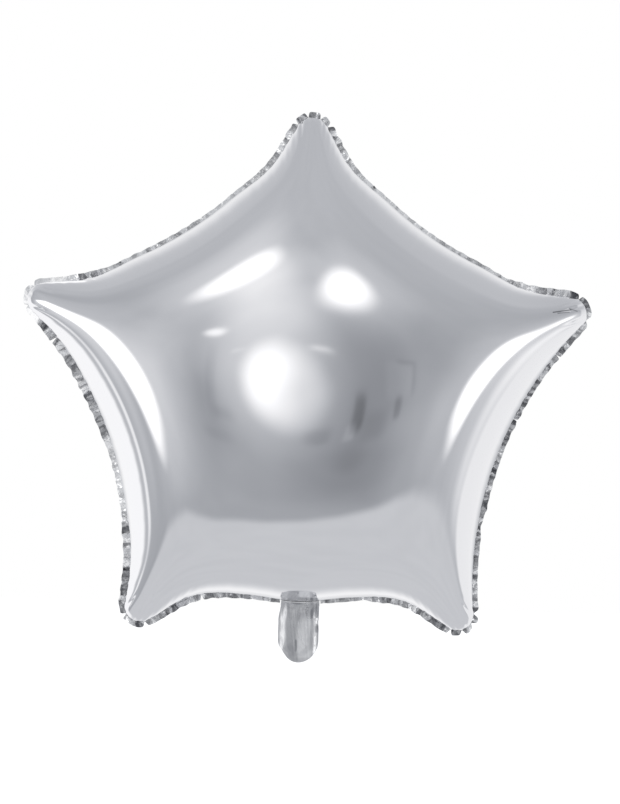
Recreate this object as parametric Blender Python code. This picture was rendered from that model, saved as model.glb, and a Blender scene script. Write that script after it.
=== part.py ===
"""A star-shaped foil balloon, blown up, with its filling tail hanging from the bottom side.

Metres, +Z up, the front faces -Y. The origin is the middle of the star, where the lift of the gas
acts. The two foil panels are thin shells whose edges stand on the two faces of the flat heat-sealed
rim, and the tail hangs in the gap of that rim and folds forwards and backwards at its root.
"""

import math

import bmesh
import bpy
import numpy as np

# Edge of the foil panels, as x and z: five round tips joined by hollow arcs
TOP_TIP = (0.0, 0.204)
SIDE_TIP = (0.208, 0.0674)
LOWER_TIP = (0.125, -0.172)
TIP_RADIUS = 0.0126
UPPER_SIDE_RADIUS = 0.2916
FLANK_RADIUS = 0.2912
BOTTOM_SIDE_RADIUS = 0.2696

# The upper and bottom sides are drawn in a little beside each tip, and the bottom side dips where
# the tail leaves it
UPPER_WAIST = 0.0032
BOTTOM_WAIST = 0.0052
WAIST_LENGTH = 0.082
ROOT_DIP = 0.0093
ROOT_SPREAD = 0.062

# Foil panels
HALF_DEPTH = 0.094
FULLNESS = 1.4
SOURCE_OFFSET = 0.013
FOIL = 0.0012
PANEL_RINGS = 9
TIP_STEPS = 6
SIDE_STEPS = 16

# Heat-sealed rim
RIM_WIDTH = 0.0041
RIM_THICKNESS = 0.0007
RIM_UNDER_PANEL = 0.0020
RUFFLE_PITCH = 0.0120
RUFFLE_HEIGHT = 0.0016
RUFFLE_FADE = 0.030

# Filling tail: a welded border, two plies blown up a little and the valve film between them
TAIL_WIDTH = 0.0316
TAIL_BELOW_FOLD = 0.0478
TAIL_ABOVE_FOLD = 0.0004
FOLD_BELOW_PANELS = 0.0009
BORDER_WIDTH = 0.0035
BORDER_END = 0.0065
BORDER_THICKNESS = 0.0010
LEDGE_THICKNESS = 0.0007
PLY_OVERLAP = 0.0018
PLY_FOIL = 0.0006
PLY_CROWN = 0.0024
PLY_RINGS = 4
VALVE_WIDTH = 0.0150
VALVE_THICKNESS = 0.0003
INLET_WIDTH = 0.0090
INLET_HEIGHT = 0.0055
INLET_ABOVE_END = 0.0200

# Clearance between pieces that rest on each other
GAP = 0.0003


def clear_scene():
    for obj in list(bpy.data.objects):
        bpy.data.objects.remove(obj)


def finish(name, colour, roughness, metallic):
    material = bpy.data.materials.new(name)
    material.use_nodes = True
    shader = material.node_tree.nodes["Principled BSDF"]
    shader.inputs["Base Color"].default_value = (*colour, 1)
    shader.inputs["Roughness"].default_value = roughness
    shader.inputs["Metallic"].default_value = metallic
    return material


def arc(centre, radius, start, end, turn, steps):
    """Points round a centre from one direction to another, the last left out. turn is 1 or -1."""
    first = math.atan2(start[1], start[0])
    sweep = turn * (math.atan2(end[1], end[0]) - first) % (2 * math.pi)
    angles = first + turn * sweep * np.arange(steps) / steps
    return np.array(centre) + radius * np.stack([np.cos(angles), np.sin(angles)], axis=1)


def outward(points):
    """Unit vectors square to a closed outline that goes round anticlockwise."""
    along = np.roll(points, -1, axis=0) - np.roll(points, 1, axis=0)
    normals = np.stack([along[:, 1], -along[:, 0]], axis=1)
    return normals / np.linalg.norm(normals, axis=1, keepdims=True)


def drawn_in(side, centre, depth):
    """A side moved away from its circle's centre, towards the star's middle, beside both tips."""
    steps = np.linalg.norm(np.diff(side, axis=0), axis=1)
    travelled = np.concatenate([[0], np.cumsum(steps)])
    length = travelled[-1] + steps[-1]
    from_tip = np.minimum(travelled, length - travelled)
    waist = depth * np.sin(np.pi * np.clip(from_tip / WAIST_LENGTH, 0, 1)) ** 2
    from_centre = side - centre
    return side + waist[:, None] * from_centre / np.linalg.norm(from_centre, axis=1, keepdims=True)


def star_outline(tip_steps, side_steps):
    """The panels' edge, anticlockwise from the middle of the bottom side. side_steps is even."""
    right = [LOWER_TIP, SIDE_TIP]
    left = [(-x, z) for x, z in reversed(right)]
    tips = np.array([*right, TOP_TIP, *left])
    radii = [BOTTOM_SIDE_RADIUS, FLANK_RADIUS, UPPER_SIDE_RADIUS, UPPER_SIDE_RADIUS, FLANK_RADIUS]
    waists = [BOTTOM_WAIST, 0, UPPER_WAIST, UPPER_WAIST, 0]
    # The side before each tip is part of a circle that touches both of its tips from outside
    centres = []
    for index, radius in enumerate(radii):
        chord = tips[index] - tips[index - 1]
        square = np.array([chord[1], -chord[0]]) / np.linalg.norm(chord)
        reach = math.sqrt((radius + TIP_RADIUS) ** 2 - chord @ chord / 4)
        centres.append((tips[index] + tips[index - 1]) / 2 + reach * square)
    runs = []
    for index, tip in enumerate(tips):
        side, after = centres[index], centres[(index + 1) % len(tips)]
        bow = arc(side, radii[index], tips[index - 1] - side, tip - side, -1, side_steps)
        runs.append(drawn_in(bow, side, waists[index]))
        runs.append(arc(tip, TIP_RADIUS, side - tip, after - tip, 1, tip_steps))
    points = np.roll(np.concatenate(runs), -(side_steps // 2), axis=0)
    root = (points[:, 1] < 0) & (np.abs(points[:, 0]) < ROOT_SPREAD)
    points[root, 1] -= ROOT_DIP * np.cos(math.pi / 2 * points[root, 0] / ROOT_SPREAD) ** 2
    return points


def tongue_outline(half_width, top, bottom, side_steps=6, end_steps=12):
    """A strip with a round lower end, anticlockwise from the left of its end."""
    shoulder = bottom + half_width
    rise = np.linspace(shoulder, top, side_steps, endpoint=False)
    across = np.linspace(half_width, -half_width, side_steps, endpoint=False)
    return np.concatenate(
        [
            arc((0, shoulder), half_width, (-1, 0), (1, 0), 1, end_steps),
            np.stack([np.full(side_steps, half_width), rise], axis=1),
            np.stack([across, np.full(side_steps, top)], axis=1),
            np.stack([np.full(side_steps, -half_width), top + shoulder - rise], axis=1),
        ]
    )


def film_heights(points):
    """Height of a foil blown up over the star, 0 to 1, at points given as x and z.

    A film under even pressure is a sum of logarithms round sources outside its edge, less a
    quarter of the distance to the middle squared. The sources' strengths are those that leave no
    height along the edge. The film's root is the round shoulder of a blown-up foil.
    """
    edge = star_outline(16, 96)
    sources = (edge + SOURCE_OFFSET * outward(edge))[::2]

    def fields(places):
        distances = np.linalg.norm(places[:, None] - sources, axis=2)
        return np.column_stack([np.log(distances), np.ones(len(places))])

    strengths = np.linalg.lstsq(fields(edge), (edge**2).sum(axis=1) / 4, rcond=1e-9)[0]
    around = np.concatenate([[[0, 0]], points])
    film = fields(around) @ strengths - (around**2).sum(axis=1) / 4
    depth = np.clip(1 - film[1:] / film[0], 0, 1)
    return np.sqrt(1 - depth**FULLNESS)


def turned_form(first_ring, last_ring, turns, closed=True):
    """A disc or washer turned about Y, its rings at whole radii on a front and a back face.

    Both faces are cut into triangles along the same diagonals, so a thin wall stays as thick.
    """
    form = bmesh.new()
    rings = range(first_ring, last_ring + 1)
    front, back = ([form.verts.new((ring, face, 0)) for ring in rings] for face in (1, -1))
    edges = [form.edges.new(pair) for row in (front, back) for pair in zip(row, row[1:])]
    edges.append(form.edges.new((front[-1], back[-1])))
    if first_ring > 0:
        edges.append(form.edges.new((front[0], back[0])))
    steps = turns if closed else turns - 1
    bmesh.ops.spin(
        form,
        geom=front + back + edges,
        cent=(0, 0, 0),
        axis=(0, -1, 0),
        angle=2 * math.pi * steps / turns,
        steps=steps,
        use_merge=closed,
    )
    bmesh.ops.triangulate(form, faces=form.faces, quad_method="FIXED")
    bmesh.ops.remove_doubles(form, verts=form.verts, dist=1e-4)
    if not closed:
        open_edges = [edge for edge in form.edges if edge.is_boundary]
        ends = bmesh.ops.holes_fill(form, edges=open_edges, sides=0)
        bmesh.ops.triangulate(form, faces=ends["faces"])
    bmesh.ops.recalc_face_normals(form, faces=form.faces)
    return form


def turned_object(name, form, turns, place, material):
    """An object from a turned form, each point of it moved to place(ring, turn, face)."""
    for vert in form.verts:
        x, face, z = vert.co
        turn = round(math.atan2(z, x) / (2 * math.pi) * turns) % turns
        vert.co = place(round(math.hypot(x, z)), turn, 1 if face > 0 else -1)
    if form.calc_volume(signed=True) < 0:
        bmesh.ops.reverse_faces(form, faces=form.faces)
    mesh = bpy.data.meshes.new(name)
    form.to_mesh(mesh)
    form.free()
    mesh.shade_smooth()
    mesh.set_sharp_from_angle(angle=math.radians(40))
    mesh.materials.append(material)
    obj = bpy.data.objects.new(name, mesh)
    bpy.context.scene.collection.objects.link(obj)
    return obj


def blown_shell(name, side, edge, middle, shares, heights, base, crown, wall, material):
    """A foil blown up over an outline. side is -1 in front and 1 behind, base the distance of its
    edge from the middle plane, and crown its rise over that edge."""
    inner_edge = edge - wall * outward(edge)

    def place(ring, turn, face):
        outline, rise = (edge, crown) if face > 0 else (inner_edge, crown - wall)
        x, z = middle + shares[ring] * (outline[turn] - middle)
        return x, side * (base + rise * heights[ring, turn]), z

    turns = len(edge)
    return turned_object(name, turned_form(0, len(shares) - 1, turns), turns, place, material)


def ring_shares(rings):
    """How far out each ring of a shell is, 0 to 1, closer together towards the edge."""
    return np.sin(np.linspace(0, math.pi / 2, rings + 1))


def foil_panels(foil):
    edge = star_outline(TIP_STEPS, SIDE_STEPS)
    shares = ring_shares(PANEL_RINGS)
    heights = film_heights((shares[:, None, None] * edge).reshape(-1, 2)).reshape(-1, len(edge))
    heights[-1] = 0
    base = RIM_THICKNESS / 2 + GAP
    shell = (edge, np.zeros(2), shares, heights, base, HALF_DEPTH - base, FOIL, foil)
    blown_shell("front_panel", -1, *shell)
    blown_shell("back_panel", 1, *shell)


def sealed_rim(foil):
    """The flat weld all round the star, ruffled outside the panels and open where the tail is."""
    fine = star_outline(40, 400)
    normals = outward(fine)
    steps = np.linalg.norm(np.roll(fine, -1, axis=0) - fine, axis=1)
    travelled = np.concatenate([[0], np.cumsum(steps)])
    opening = TAIL_WIDTH / 2 + 2 * GAP
    length = travelled[-1] - 2 * opening
    turns = 2 * round(length / RUFFLE_PITCH)
    stations = opening + length * np.arange(turns) / (turns - 1)
    nearest = np.searchsorted(travelled, stations) % len(fine)
    from_end = np.minimum(stations, travelled[-1] - stations) - opening
    fade = np.clip(from_end / RUFFLE_FADE, 0, 1)
    uneven = 0.75 + 0.25 * np.sin(1.7 * np.arange(turns))
    lift = RUFFLE_HEIGHT * fade * uneven * (-1) ** np.arange(turns)
    reach = {1: -RIM_UNDER_PANEL, 2: 0, 3: RIM_WIDTH}

    def place(ring, turn, face):
        x, z = fine[nearest[turn]] + reach[ring] * normals[nearest[turn]]
        raised = lift[turn] if ring == 3 else 0
        return x, raised - face * RIM_THICKNESS / 2, z

    turned_object("seam_rim", turned_form(1, 3, turns, closed=False), turns, place, foil)


def tail(foil, film):
    """The filling tail, which folds about X just under the panels' edge."""
    fold = star_outline(TIP_STEPS, SIDE_STEPS)[0, 1] - FOLD_BELOW_PANELS
    top, end = fold + TAIL_ABOVE_FOLD, fold - TAIL_BELOW_FOLD
    outer = tongue_outline(TAIL_WIDTH / 2, top, end)
    window = tongue_outline(TAIL_WIDTH / 2 - BORDER_WIDTH, top - BORDER_WIDTH, end + BORDER_END)
    turns = len(outer)
    edge = window + PLY_OVERLAP * outward(window)
    step = window + (PLY_OVERLAP + GAP) * outward(window)
    weld = {1: (window, LEDGE_THICKNESS), 2: (step, LEDGE_THICKNESS)}
    weld |= {3: (step, BORDER_THICKNESS), 4: (outer, BORDER_THICKNESS)}

    def place_border(ring, turn, face):
        outline, thickness = weld[ring]
        x, z = outline[turn]
        return x, -face * thickness / 2, z

    turned_object("tail_border", turned_form(1, 4, turns), turns, place_border, foil)

    # The plies stand on the border's ledge
    middle = np.array([0, (edge[:, 1].max() + edge[:, 1].min()) / 2])
    shares = ring_shares(PLY_RINGS)
    heights = np.sqrt(1 - shares**2)[:, None] * np.ones(turns)
    base = LEDGE_THICKNESS / 2 + GAP
    ply = (edge, middle, shares, heights, base, PLY_CROWN, PLY_FOIL, foil)
    blown_shell("tail_front", -1, *ply)
    back = blown_shell("tail_back", 1, *ply)

    # The filling hole goes through the back ply only
    bpy.ops.mesh.primitive_cylinder_add(vertices=24, radius=0.5, depth=1)
    cutter = bpy.context.object
    cutter.name = "inlet_cutter"
    cutter.scale = (INLET_WIDTH, INLET_HEIGHT, 2 * PLY_CROWN)
    cutter.rotation_euler = (math.pi / 2, 0, 0)
    cutter.location = (0, base + PLY_CROWN, end + INLET_ABOVE_END)
    cutter.hide_render = True
    cutter.display_type = "WIRE"
    inlet = back.modifiers.new("inlet", "BOOLEAN")
    inlet.operation = "DIFFERENCE"
    inlet.object = cutter

    # The flat valve film lies in the border's window
    strip = tongue_outline(VALVE_WIDTH / 2, top - BORDER_WIDTH - GAP, end + BORDER_END + GAP)

    def place_valve(ring, turn, face):
        x, z = strip[turn] if ring == 1 else middle
        return x, -face * VALVE_THICKNESS / 2, z

    turned_object("valve_film", turned_form(0, 1, turns), turns, place_valve, film)


def main():
    clear_scene()
    foil = finish("mirror_foil", (0.78, 0.79, 0.82), 0.18, 1.0)
    film = finish("valve_film", (0.75, 0.77, 0.78), 0.35, 0.0)
    foil_panels(foil)
    sealed_rim(foil)
    tail(foil, film)


main()
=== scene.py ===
import math

import bmesh
import bpy
import numpy as np
from mathutils import Matrix, Vector


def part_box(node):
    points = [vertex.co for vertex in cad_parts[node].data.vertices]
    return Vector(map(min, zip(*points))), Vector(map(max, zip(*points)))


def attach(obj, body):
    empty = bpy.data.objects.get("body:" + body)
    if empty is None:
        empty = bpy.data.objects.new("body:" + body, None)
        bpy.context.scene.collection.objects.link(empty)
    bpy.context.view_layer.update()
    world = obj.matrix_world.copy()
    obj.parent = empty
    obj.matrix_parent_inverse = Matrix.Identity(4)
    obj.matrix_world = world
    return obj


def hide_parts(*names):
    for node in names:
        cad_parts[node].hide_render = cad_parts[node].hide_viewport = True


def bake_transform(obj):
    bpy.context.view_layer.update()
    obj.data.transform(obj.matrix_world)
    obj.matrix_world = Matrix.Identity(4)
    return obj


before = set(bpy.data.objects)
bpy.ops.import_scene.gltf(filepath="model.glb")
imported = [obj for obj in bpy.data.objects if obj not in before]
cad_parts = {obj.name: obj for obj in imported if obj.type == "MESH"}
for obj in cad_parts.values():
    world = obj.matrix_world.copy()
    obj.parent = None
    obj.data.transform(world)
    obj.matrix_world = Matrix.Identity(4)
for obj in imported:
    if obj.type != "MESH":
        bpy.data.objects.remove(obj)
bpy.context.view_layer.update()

# A silver foil balloon in the shape of a star: two blown-up sheets of foil, the crinkled weld
# between them, and the flat filling tail with its film valve. Metres, +Z up, the front faces -Y.

# Edge of the blown-up foil, as x and z: five round tips joined by hollow arcs
TOP_TIP = (0.0, 0.204)
SIDE_TIP = (0.208, 0.0674)
LOWER_TIP = (0.125, -0.172)
LEFT_SIDE_TIP = (-SIDE_TIP[0], SIDE_TIP[1])
LEFT_LOWER_TIP = (-LOWER_TIP[0], LOWER_TIP[1])
TIP_RADIUS = 0.0126
UPPER_SIDE_RADIUS = 0.2916
RIGHT_FLANK_RADIUS = 0.2912
LEFT_FLANK_RADIUS = 0.2750
BOTTOM_SIDE_RADIUS = 0.2696
UPPER_WAIST = 0.0032
BOTTOM_WAIST = 0.0052
LEFT_FLANK_WAIST = 0.0012
WAIST_LENGTH = 0.082
ROOT_DIP = 0.0093
ROOT_SPREAD = 0.062
FOIL_BEYOND_EDGE = 0.0006

# How the foil swells
FULLNESS = 1.4
SOURCE_OFFSET = 0.013
FOIL_RINGS = 120
FOIL_SPOKES = 770
LINING_RINGS = 5
LINING_SCALE = 0.988
SEAM_LIFT = 0.0005
# Fine ripples next to the seam, which leave the seam itself flat
RIPPLE_HEIGHT = 0.00012
RIPPLE_PITCH = 0.011
RIPPLE_REACH = 0.022
FLAT_AT_SEAM = 0.002
TIP_FOLD_HALF_WIDTH = 0.0016
# How much closer together the foil's spokes are at the tips, and over what distance
TIP_CROWDING = 2.5
TIP_CROWDING_REACH = 0.022

# Welded rim
RIM_STATIONS = 2700
RIM_ACROSS = 8
RIM_UNDER_FOIL = 0.0012
RIM_FOIL = 0.00022

# Uneven waves: how many are summed, and about how high their sum stands
SWELL_WAVES = 5
SWELL_PEAK = 3.2

# Camera: the star's middle is at this pixel of the 620 x 804 picture, which is turned by the roll
PICTURE_WIDTH, PICTURE_HEIGHT = 620, 804
STAR_PIXEL = (305.0, 392.0)
METRES_PER_PIXEL = 0.00079
ROLL = math.radians(1.6)
CAMERA_DISTANCE = 2.5


def arc(centre, radius, start, end, turn, steps):
    """Points round a centre from one direction to another, the last left out. turn is 1 or -1."""
    first = math.atan2(start[1], start[0])
    sweep = turn * (math.atan2(end[1], end[0]) - first) % (2 * math.pi)
    angles = first + turn * sweep * np.arange(steps) / steps
    return np.array(centre) + radius * np.stack([np.cos(angles), np.sin(angles)], axis=1)


def outward(points):
    """Unit vectors square to a closed outline that goes round anticlockwise."""
    along = np.roll(points, -1, axis=0) - np.roll(points, 1, axis=0)
    normals = np.stack([along[:, 1], -along[:, 0]], axis=1)
    return normals / np.linalg.norm(normals, axis=1, keepdims=True)


def drawn_in(side, centre, depth):
    """A side moved away from its circle's centre, towards the star's middle, beside both tips."""
    steps = np.linalg.norm(np.diff(side, axis=0), axis=1)
    travelled = np.concatenate([[0], np.cumsum(steps)])
    length = travelled[-1] + steps[-1]
    from_tip = np.minimum(travelled, length - travelled)
    waist = depth * np.sin(np.pi * np.clip(from_tip / WAIST_LENGTH, 0, 1)) ** 2
    from_centre = side - centre
    return side + waist[:, None] * from_centre / np.linalg.norm(from_centre, axis=1, keepdims=True)


def star_outline(tip_steps, side_steps):
    """The foil's edge, anticlockwise from the middle of the bottom side. side_steps is even."""
    tips = np.array([LOWER_TIP, SIDE_TIP, TOP_TIP, LEFT_SIDE_TIP, LEFT_LOWER_TIP])
    upper = UPPER_SIDE_RADIUS
    radii = [BOTTOM_SIDE_RADIUS, RIGHT_FLANK_RADIUS, upper, upper, LEFT_FLANK_RADIUS]
    waists = [BOTTOM_WAIST, 0, UPPER_WAIST, UPPER_WAIST, LEFT_FLANK_WAIST]
    centres = []
    for index, radius in enumerate(radii):
        chord = tips[index] - tips[index - 1]
        square = np.array([chord[1], -chord[0]]) / np.linalg.norm(chord)
        reach = math.sqrt((radius + TIP_RADIUS) ** 2 - chord @ chord / 4)
        centres.append((tips[index] + tips[index - 1]) / 2 + reach * square)
    runs = []
    for index, tip in enumerate(tips):
        side, after = centres[index], centres[(index + 1) % len(tips)]
        bow = arc(side, radii[index], tips[index - 1] - side, tip - side, -1, side_steps)
        runs.append(drawn_in(bow, side, waists[index]))
        runs.append(arc(tip, TIP_RADIUS, side - tip, after - tip, 1, tip_steps))
    points = np.roll(np.concatenate(runs), -(side_steps // 2), axis=0)
    root = (points[:, 1] < 0) & (np.abs(points[:, 0]) < ROOT_SPREAD)
    points[root, 1] -= ROOT_DIP * np.cos(math.pi / 2 * points[root, 0] / ROOT_SPREAD) ** 2
    return points + FOIL_BEYOND_EDGE * outward(points)


class Edge:
    """The foil's edge by distance travelled along it from the middle of the bottom side."""

    def __init__(self):
        line = star_outline(60, 600)
        normals = outward(line)
        self.line = np.vstack([line, line[:1]])
        self.normals = np.vstack([normals, normals[:1]])
        steps = np.linalg.norm(np.diff(self.line, axis=0), axis=1)
        self.travelled = np.concatenate([[0], np.cumsum(steps)])
        self.length = self.travelled[-1]

    def read(self, table, at):
        at = np.mod(at, self.length)
        return np.stack([np.interp(at, self.travelled, table[:, axis]) for axis in (0, 1)], axis=-1)

    def points(self, at):
        return self.read(self.line, at)

    def square(self, at):
        return self.read(self.normals, at)

    def nearest(self, x, z):
        """Distance travelled to the point of the edge nearest to a place."""
        return self.travelled[np.argmin(np.hypot(self.line[:, 0] - x, self.line[:, 1] - z))]


EDGE = Edge()


def film_heights(points):
    """Height of a foil blown up over the star, 0 to 1, at points given as x and z.

    A film under even pressure is a sum of logarithms round sources outside its edge, less a
    quarter of the distance to the middle squared. The sources' strengths are those that leave no
    height along the edge. The square root at the end rounds the shoulders, as gas does to a foil.
    """
    edge = star_outline(16, 96)
    sources = (edge + SOURCE_OFFSET * outward(edge))[::2]

    def fields(places):
        distances = np.linalg.norm(places[:, None] - sources, axis=2)
        return np.column_stack([np.log(distances), np.ones(len(places))])

    strengths = np.linalg.lstsq(fields(edge), (edge**2).sum(axis=1) / 4, rcond=1e-9)[0]
    around = np.concatenate([[[0, 0]], points])
    film = fields(around) @ strengths - (around**2).sum(axis=1) / 4
    depth = np.clip(1 - film[1:] / film[0], 0, 1)
    return np.sqrt(1 - depth**FULLNESS)


def smooth(low, high, values):
    """0 below low, 1 above high, and a soft step between. low may be above high."""
    t = np.clip((values - low) / (high - low), 0, 1)
    return t * t * (3 - 2 * t)


def bell(values, width):
    return np.exp(-((values / width) ** 2))


def swell(at, pitch, seed, period):
    """Smooth uneven waves of about one pitch along a closed line of that period, about -1 to 1."""
    rng = np.random.default_rng(seed)
    total = 0
    for _ in range(SWELL_WAVES):
        turns = max(1, round(period / pitch * rng.uniform(0.6, 1.5)))
        total = total + np.sin(2 * math.pi * turns * at / period + rng.uniform(0, 2 * math.pi))
    return total / SWELL_PEAK


# Sheets: every piece is one grid of points, wrapped round so that it closes on itself
def wrapped_form(points, tone=None):
    """A closed mesh from points by row and column, welded where its first and last rows or columns
    meet or come to a point, and filled where they end. tone is kept with each point."""
    rows, columns = points.shape[0] - 1, points.shape[1] - 1
    form = bmesh.new()
    bmesh.ops.create_grid(form, x_segments=columns, y_segments=rows, size=0.5)
    flat = bpy.data.meshes.new("flat_sheet")
    form.to_mesh(flat)
    form.free()
    places = np.empty(3 * len(flat.vertices))
    flat.vertices.foreach_get("co", places)
    places = places.reshape(-1, 3) + 0.5
    column = np.rint(places[:, 0] * columns).astype(int)
    row = np.rint(places[:, 1] * rows).astype(int)
    flat.vertices.foreach_set("co", points[row, column].ravel())
    if tone is not None:
        flat.attributes.new("tone", "FLOAT", "POINT").data.foreach_set("value", tone[row, column])
    form = bmesh.new()
    form.from_mesh(flat)
    bpy.data.meshes.remove(flat)
    bmesh.ops.remove_doubles(form, verts=form.verts, dist=1e-7)
    ends = [edge for edge in form.edges if edge.is_boundary]
    if ends:
        filled = bmesh.ops.holes_fill(form, edges=ends, sides=0)
        bmesh.ops.triangulate(form, faces=filled["faces"])
    bmesh.ops.recalc_face_normals(form, faces=form.faces)
    if form.calc_volume(signed=True) < 0:
        bmesh.ops.reverse_faces(form, faces=form.faces)
    return form


def new_piece(name, form, sharp, material):
    """An object from a form, smooth but for the edges where its faces turn by more than sharp."""
    mesh = bpy.data.meshes.new(name)
    form.to_mesh(mesh)
    form.free()
    mesh.shade_smooth()
    mesh.set_sharp_from_angle(angle=math.radians(sharp))
    mesh.materials.append(material)
    obj = bpy.data.objects.new(name, mesh)
    bpy.context.scene.collection.objects.link(obj)
    return obj


def closed(columns):
    """Columns with the first one again at the end."""
    return np.concatenate([columns, columns[:, :1]], axis=1)


# Shader nodes
def node(tree, kind, inputs=None, **settings):
    """A new node with its settings, its inputs set to values or linked from outputs."""
    made = tree.nodes.new(kind)
    for key, value in settings.items():
        setattr(made, key, value)
    for socket, value in (inputs or {}).items():
        if isinstance(value, bpy.types.NodeSocket):
            tree.links.new(value, made.inputs[socket])
        else:
            made.inputs[socket].default_value = value
    return made


def maths(tree, operation, *values):
    return node(tree, "ShaderNodeMath", dict(enumerate(values)), operation=operation).outputs[0]


def new_group(name, inputs, outputs):
    """An empty shader node group. inputs and outputs are (name, socket type, default)."""
    tree = bpy.data.node_groups.new(name, "ShaderNodeTree")
    for direction, sockets in (("INPUT", inputs), ("OUTPUT", outputs)):
        for label, kind, value in sockets:
            made = tree.interface.new_socket(label, in_out=direction, socket_type=kind)
            if value is not None:
                made.default_value = value
    return tree, tree.nodes.new("NodeGroupInput").outputs, tree.nodes.new("NodeGroupOutput").inputs


def use_group(tree, group, **inputs):
    made = tree.nodes.new("ShaderNodeGroup")
    made.node_tree = group
    for label, value in inputs.items():
        socket = made.inputs[label.replace("_", " ").capitalize()]
        if isinstance(value, bpy.types.NodeSocket):
            tree.links.new(value, socket)
        else:
            socket.default_value = value
    return made.outputs


def crinkle_group():
    """Small flat facets in all directions, as on foil that was crumpled and welded."""
    tree, given, result = new_group(
        "crinkle",
        [
            ("Place", "NodeSocketVector", None),
            ("Facets", "NodeSocketFloat", 300.0),
            ("Depth", "NodeSocketFloat", 0.5),
        ],
        [("Shade", "NodeSocketFloat", None), ("Height", "NodeSocketFloat", None)],
    )
    cells = node(
        tree,
        "ShaderNodeTexVoronoi",
        {"Vector": given["Place"], "Scale": given["Facets"], "Randomness": 1.0},
        feature="F1",
    )
    soft = node(
        tree,
        "ShaderNodeTexNoise",
        {"Vector": given["Place"], "Scale": maths(tree, "MULTIPLY", given["Facets"], 2.3), "Detail": 2.0},
    )
    height = maths(tree, "ADD", cells.outputs["Distance"], maths(tree, "MULTIPLY", soft.outputs["Fac"], 0.5))
    tree.links.new(maths(tree, "MULTIPLY", height, given["Depth"]), result["Height"])
    tone = node(tree, "ShaderNodeSeparateColor", {"Color": cells.outputs["Color"]})
    tree.links.new(tone.outputs["Red"], result["Shade"])
    return tree


def grain_group():
    """The unevenness of rolled foil: a slow change in gloss and a very shallow ripple."""
    tree, given, result = new_group(
        "foil_grain",
        [("Place", "NodeSocketVector", None), ("Scale", "NodeSocketFloat", 14.0)],
        [("Gloss", "NodeSocketFloat", None), ("Height", "NodeSocketFloat", None)],
    )
    inputs = {"Vector": given["Place"], "Scale": given["Scale"], "Detail": 2.0, "Roughness": 0.4}
    slow = node(tree, "ShaderNodeTexNoise", inputs).outputs["Fac"]
    tree.links.new(slow, result["Gloss"])
    tree.links.new(slow, result["Height"])
    return tree


def remap(tree, value, low, high, start=0.0, end=1.0):
    inputs = {"Value": value, "From Min": start, "From Max": end, "To Min": low, "To Max": high}
    return node(tree, "ShaderNodeMapRange", inputs).outputs["Result"]


def soft_step(tree, value, low, high):
    inputs = {"Value": value, "From Min": low, "From Max": high}
    made = node(tree, "ShaderNodeMapRange", inputs, interpolation_type="SMOOTHSTEP")
    return made.outputs["Result"]


def new_material(name):
    material = bpy.data.materials.new(name)
    material.use_nodes = True
    tree = material.node_tree
    return material, tree, tree.nodes["Principled BSDF"]


def tint(tree, value, dark, light):
    """A colour between two, by a value from 0 to 1."""
    inputs = {0: value, 6: (*dark, 1), 7: (*light, 1)}
    return node(tree, "ShaderNodeMix", inputs, data_type="RGBA").outputs[2]


def crease_shade_group():
    """Where a crease's painted shade goes: a thin line between two places on the front of the foil."""
    tree, given, result = new_group(
        "painted_crease_shade",
        [
            ("Place", "NodeSocketVector", None),
            ("Start", "NodeSocketVector", None),
            ("End", "NodeSocketVector", None),
            ("Half width", "NodeSocketFloat", 0.0005),
        ],
        [("Mask", "NodeSocketFloat", None)],
    )

    def vector(operation, *values, output=0):
        inputs = dict(enumerate(values))
        return node(tree, "ShaderNodeVectorMath", inputs, operation=operation).outputs[output]

    flat = vector("MULTIPLY", given["Place"], (1, 0, 1))
    along = vector("SUBTRACT", given["End"], given["Start"])
    reach = vector("SUBTRACT", flat, given["Start"])
    passed = vector("DOT_PRODUCT", reach, along, output=1)
    whole = vector("DOT_PRODUCT", along, along, output=1)
    share = node(tree, "ShaderNodeClamp", {0: maths(tree, "DIVIDE", passed, whole)}).outputs[0]
    foot = node(tree, "ShaderNodeVectorMath", {0: along, 3: share}, operation="SCALE").outputs[0]
    apart = vector("DISTANCE", reach, foot, output=1)
    mask = soft_step(tree, maths(tree, "DIVIDE", apart, given["Half width"]), 1.3, 0.4)
    front = node(tree, "ShaderNodeSeparateXYZ", {0: given["Place"]}).outputs["Y"]
    tree.links.new(maths(tree, "MULTIPLY", mask, maths(tree, "LESS_THAN", front, 0.0)), result["Mask"])
    return tree


# Painted shade of the creases near the right tip, drawn as thin dark lines on the front: both ends as x and
# z, half width, darkness
CREASE_SHADE_LINES = [
    ((0.1922, 0.0676), (0.2068, 0.0702), 0.00052, 0.70),
    ((0.1960, 0.0670), (0.2055, 0.0684), 0.00042, 0.55),
    ((0.2055, 0.0712), (0.2120, 0.0693), 0.00050, 0.45),
]


def mirror_foil(grain, crease_shade):
    material, tree, shader = new_material("mirror_foil")
    place = node(tree, "ShaderNodeTexCoord").outputs["Object"]
    look = use_group(tree, grain, place=place, scale=14.0)
    colour = tint(tree, look["Gloss"], (0.856, 0.857, 0.881), (0.884, 0.885, 0.908))
    # Painted shade: each crease is a thin line where the foil's colour is mixed towards near black
    for start, end, half, darkness in CREASE_SHADE_LINES:
        ends = {"start": (start[0], 0, start[1]), "end": (end[0], 0, end[1])}
        mask = use_group(tree, crease_shade, place=place, half_width=half, **ends)["Mask"]
        inputs = {0: maths(tree, "MULTIPLY", mask, darkness), 6: colour, 7: (0.05, 0.05, 0.06, 1)}
        colour = node(tree, "ShaderNodeMix", inputs, data_type="RGBA").outputs[2]
    tree.links.new(colour, shader.inputs["Base Color"])
    tree.links.new(remap(tree, look["Gloss"], 0.05, 0.09, 0.3, 0.7), shader.inputs["Roughness"])
    shader.inputs["Metallic"].default_value = 1.0
    bump = node(tree, "ShaderNodeBump", {"Strength": 0.25, "Distance": 0.0006, "Height": look["Height"]})
    tree.links.new(bump.outputs["Normal"], shader.inputs["Normal"])
    return material


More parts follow.
